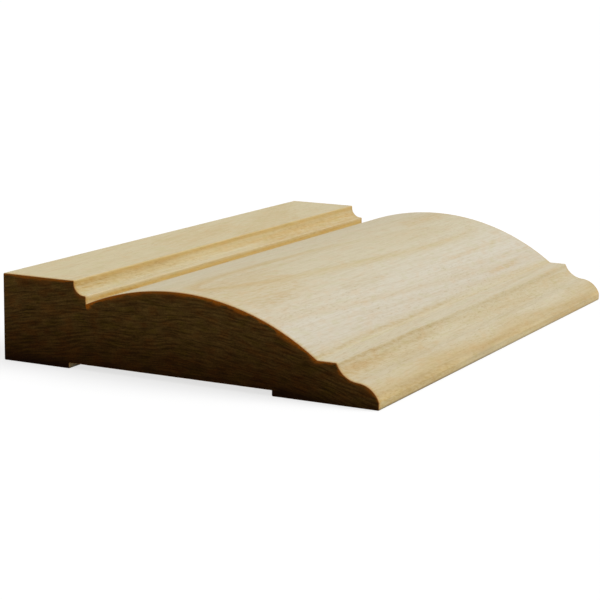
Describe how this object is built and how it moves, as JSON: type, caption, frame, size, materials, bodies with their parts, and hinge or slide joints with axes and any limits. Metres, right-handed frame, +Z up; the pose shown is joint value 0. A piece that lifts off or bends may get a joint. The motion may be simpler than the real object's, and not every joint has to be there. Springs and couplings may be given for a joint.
{
  "type": "casing moulding",
  "caption": "Short sawn length of wide timber casing for a door or window, with a flat outer band, cove, quirk, broad crown, fillet and ogee edge on a relieved flat back.",
  "frame": {"origin": "middle of the back, on the plane of the two feet that bear on the wall", "axes": "+X across the width towards the thin inner edge, +Y along the grain, +Z up off the wall, out of the moulded face"},
  "size_m": [0.0888, 0.135, 0.0191],
  "materials": {
    "bare_timber": "planed and sanded, unfinished pale timber with darker sawn end grain"
  },
  "bodies": {
    "root": {"casing_moulding": "bare_timber"}
  },
  "joints": []
}
